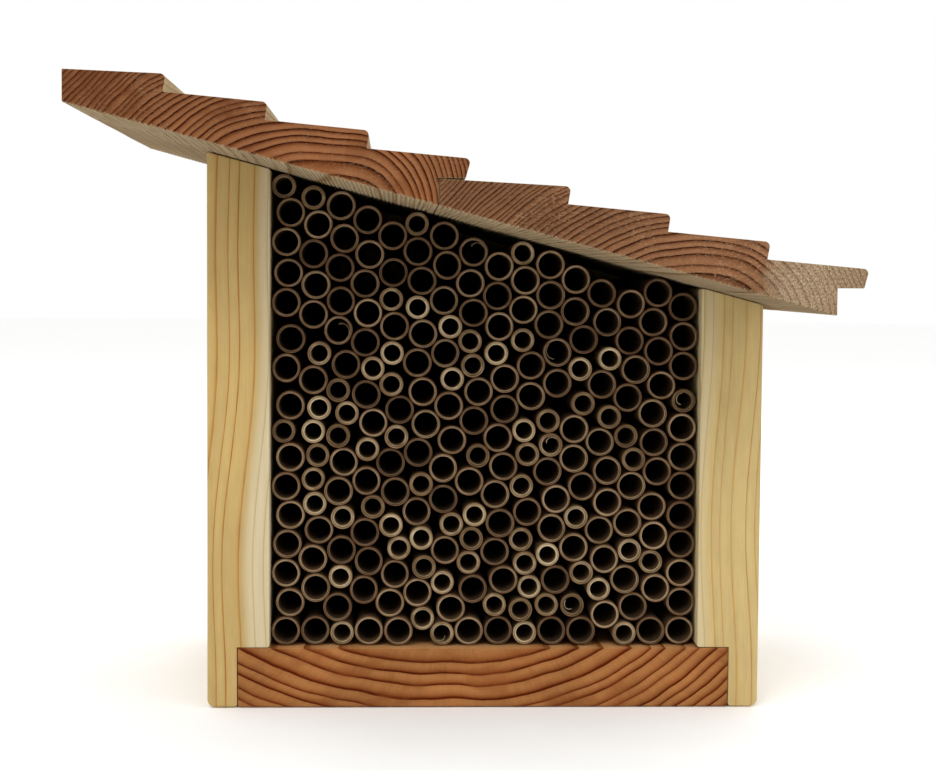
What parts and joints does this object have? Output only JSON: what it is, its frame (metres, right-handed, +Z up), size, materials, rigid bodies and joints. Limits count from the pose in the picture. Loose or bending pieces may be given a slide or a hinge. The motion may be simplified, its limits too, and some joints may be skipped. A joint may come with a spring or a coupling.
{
  "type": "insect hotel",
  "caption": "Wooden insect hotel: an open-fronted box with a stepped lean-to roof, packed with loose and bundled nesting tubes, and a keyhole plate behind to hang it by.",
  "frame": {"origin": "middle of the underside of the floor board, which the box stands on", "axes": "+X to the right seen from the front, -Y out of the open front, +Z up"},
  "size_m": [0.2437, 0.201, 0.2074],
  "materials": {
    "pine_board": "planed, unfinished",
    "larch_board": "planed, unfinished, end grain in front",
    "kraft_tube": "wound paper, matt",
    "zinc_steel": "zinc plated"
  },
  "bodies": {
    "house": {"left_side": "pine_board", "right_side": "pine_board", "floor_board": "larch_board", "back_panel": "pine_board", "roof_board_upper": "larch_board", "roof_board_lower": "larch_board", "hanger_plate": "zinc_steel", "floor_screw_left_front": "zinc_steel", "roof_screw_left_front": "zinc_steel", "floor_screw_left_rear": "zinc_steel", "roof_screw_left_rear": "zinc_steel", "back_screw_left_low": "zinc_steel", "back_screw_left_high": "zinc_steel", "hanger_screw_left": "zinc_steel", "floor_screw_right_front": "zinc_steel", "roof_screw_right_front": "zinc_steel", "floor_screw_right_rear": "zinc_steel", "roof_screw_right_rear": "zinc_steel", "back_screw_right_low": "zinc_steel", "back_screw_right_high": "zinc_steel", "hanger_screw_right": "zinc_steel"},
    "tube_01": {"tube_01": "kraft_tube"},
    "tube_02": {"tube_02": "kraft_tube"},
    "tube_03": {"tube_03": "kraft_tube"},
    "tube_04": {"tube_04": "kraft_tube"},
    "tube_05": {"tube_05": "kraft_tube"},
    "tube_06": {"tube_06": "kraft_tube"},
    "tube_07": {"tube_07": "kraft_tube"},
    "tube_08": {"tube_08": "kraft_tube"},
    "tube_09": {"tube_09": "kraft_tube"},
    "tube_10": {"tube_10": "kraft_tube"},
    "tube_11": {"tube_11": "kraft_tube"},
    "tube_12": {"tube_12": "kraft_tube"},
    "tube_13": {"tube_13": "kraft_tube"},
    "tube_14": {"tube_14": "kraft_tube"},
    "tube_15": {"tube_15": "kraft_tube"},
    "tube_16": {"tube_16": "kraft_tube"},
    "tube_17": {"tube_17": "kraft_tube"},
    "tube_18": {"tube_18": "kraft_tube"},
    "tube_19": {"tube_19": "kraft_tube"},
    "tube_20": {"tube_20": "kraft_tube"},
    "tube_21": {"tube_21": "kraft_tube"},
    "tube_22": {"tube_22": "kraft_tube"},
    "tube_23": {"tube_23": "kraft_tube"},
    "tube_24": {"tube_24": "kraft_tube"},
    "tube_25": {"tube_25": "kraft_tube"},
    "tube_26": {"tube_26": "kraft_tube"},
    "tube_27": {"tube_27": "kraft_tube"},
    "tube_28": {"tube_28": "kraft_tube"},
    "tube_29": {"tube_29": "kraft_tube"},
    "tube_30": {"tube_30": "kraft_tube"},
    "bundle_low_left": {"bundle_low_left": "kraft_tube"},
    "bundle_low_middle": {"bundle_low_middle": "kraft_tube"},
    "bundle_low_right": {"bundle_low_right": "kraft_tube"},
    "bundle_mid_right": {"bundle_mid_right": "kraft_tube"},
    "bundle_mid_left": {"bundle_mid_left": "kraft_tube"},
    "bundle_mid_middle": {"bundle_mid_middle": "kraft_tube"},
    "bundle_high_left": {"bundle_high_left": "kraft_tube"},
    "bundle_high_right": {"bundle_high_right": "kraft_tube"},
    "bundle_high_middle": {"bundle_high_middle": "kraft_tube"}
  },
  "joints": [
    {"name": "tube_01_slide", "type": "slide", "parent": "house", "child": "tube_01", "axis": [0, -1, 0], "range_m": [0, 0.12]},
    {"name": "tube_02_slide", "type": "slide", "parent": "house", "child": "tube_02", "axis": [0, -1, 0], "range_m": [0, 0.12]},
    {"name": "tube_03_slide", "type": "slide", "parent": "house", "child": "tube_03", "axis": [0, -1, 0], "range_m": [0, 0.12]},
    {"name": "tube_04_slide", "type": "slide", "parent": "house", "child": "tube_04", "axis": [0, -1, 0], "range_m": [0, 0.12]},
    {"name": "tube_05_slide", "type": "slide", "parent": "house", "child": "tube_05", "axis": [0, -1, 0], "range_m": [0, 0.12]},
    {"name": "tube_06_slide", "type": "slide", "parent": "house", "child": "tube_06", "axis": [0, -1, 0], "range_m": [0, 0.12]},
    {"name": "tube_07_slide", "type": "slide", "parent": "house", "child": "tube_07", "axis": [0, -1, 0], "range_m": [0, 0.12]},
    {"name": "tube_08_slide", "type": "slide", "parent": "house", "child": "tube_08", "axis": [0, -1, 0], "range_m": [0, 0.12]},
    {"name": "tube_09_slide", "type": "slide", "parent": "house", "child": "tube_09", "axis": [0, -1, 0], "range_m": [0, 0.12]},
    {"name": "tube_10_slide", "type": "slide", "parent": "house", "child": "tube_10", "axis": [0, -1, 0], "range_m": [0, 0.12]},
    {"name": "tube_11_slide", "type": "slide", "parent": "house", "child": "tube_11", "axis": [0, -1, 0], "range_m": [0, 0.12]},
    {"name": "tube_12_slide", "type": "slide", "parent": "house", "child": "tube_12", "axis": [0, -1, 0], "range_m": [0, 0.12]},
    {"name": "tube_13_slide", "type": "slide", "parent": "house", "child": "tube_13", "axis": [0, -1, 0], "range_m": [0, 0.12]},
    {"name": "tube_14_slide", "type": "slide", "parent": "house", "child": "tube_14", "axis": [0, -1, 0], "range_m": [0, 0.12]},
    {"name": "tube_15_slide", "type": "slide", "parent": "house", "child": "tube_15", "axis": [0, -1, 0], "range_m": [0, 0.12]},
    {"name": "tube_16_slide", "type": "slide", "parent": "house", "child": "tube_16", "axis": [0, -1, 0], "range_m": [0, 0.12]},
    {"name": "tube_17_slide", "type": "slide", "parent": "house", "child": "tube_17", "axis": [0, -1, 0], "range_m": [0, 0.12]},
    {"name": "tube_18_slide", "type": "slide", "parent": "house", "child": "tube_18", "axis": [0, -1, 0], "range_m": [0, 0.12]},
    {"name": "tube_19_slide", "type": "slide", "parent": "house", "child": "tube_19", "axis": [0, -1, 0], "range_m": [0, 0.12]},
    {"name": "tube_20_slide", "type": "slide", "parent": "house", "child": "tube_20", "axis": [0, -1, 0], "range_m": [0, 0.12]},
    {"name": "tube_21_slide", "type": "slide", "parent": "house", "child": "tube_21", "axis": [0, -1, 0], "range_m": [0, 0.12]},
    {"name": "tube_22_slide", "type": "slide", "parent": "house", "child": "tube_22", "axis": [0, -1, 0], "range_m": [0, 0.12]},
    {"name": "tube_23_slide", "type": "slide", "parent": "house", "child": "tube_23", "axis": [0, -1, 0], "range_m": [0, 0.12]},
    {"name": "tube_24_slide", "type": "slide", "parent": "house", "child": "tube_24", "axis": [0, -1, 0], "range_m": [0, 0.12]},
    {"name": "tube_25_slide", "type": "slide", "parent": "house", "child": "tube_25", "axis": [0, -1, 0], "range_m": [0, 0.12]},
    {"name": "tube_26_slide", "type": "slide", "parent": "house", "child": "tube_26", "axis": [0, -1, 0], "range_m": [0, 0.12]},
    {"name": "tube_27_slide", "type": "slide", "parent": "house", "child": "tube_27", "axis": [0, -1, 0], "range_m": [0, 0.12]},
    {"name": "tube_28_slide", "type": "slide", "parent": "house", "child": "tube_28", "axis": [0, -1, 0], "range_m": [0, 0.12]},
    {"name": "tube_29_slide", "type": "slide", "parent": "house", "child": "tube_29", "axis": [0, -1, 0], "range_m": [0, 0.12]},
    {"name": "tube_30_slide", "type": "slide", "parent": "house", "child": "tube_30", "axis": [0, -1, 0], "range_m": [0, 0.12]},
    {"name": "bundle_low_left_slide", "type": "slide", "parent": "house", "child": "bundle_low_left", "axis": [0, -1, 0], "range_m": [0, 0.12]},
    {"name": "bundle_low_middle_slide", "type": "slide", "parent": "house", "child": "bundle_low_middle", "axis": [0, -1, 0], "range_m": [0, 0.12]},
    {"name": "bundle_low_right_slide", "type": "slide", "parent": "house", "child": "bundle_low_right", "axis": [0, -1, 0], "range_m": [0, 0.12]},
    {"name": "bundle_mid_right_slide", "type": "slide", "parent": "house", "child": "bundle_mid_right", "axis": [0, -1, 0], "range_m": [0, 0.12]},
    {"name": "bundle_mid_left_slide", "type": "slide", "parent": "house", "child": "bundle_mid_left", "axis": [0, -1, 0], "range_m": [0, 0.12]},
    {"name": "bundle_mid_middle_slide", "type": "slide", "parent": "house", "child": "bundle_mid_middle", "axis": [0, -1, 0], "range_m": [0, 0.12]},
    {"name": "bundle_high_left_slide", "type": "slide", "parent": "house", "child": "bundle_high_left", "axis": [0, -1, 0], "range_m": [0, 0.12]},
    {"name": "bundle_high_right_slide", "type": "slide", "parent": "house", "child": "bundle_high_right", "axis": [0, -1, 0], "range_m": [0, 0.12]},
    {"name": "bundle_high_middle_slide", "type": "slide", "parent": "house", "child": "bundle_high_middle", "axis": [0, -1, 0], "range_m": [0, 0.12]}
  ]
}
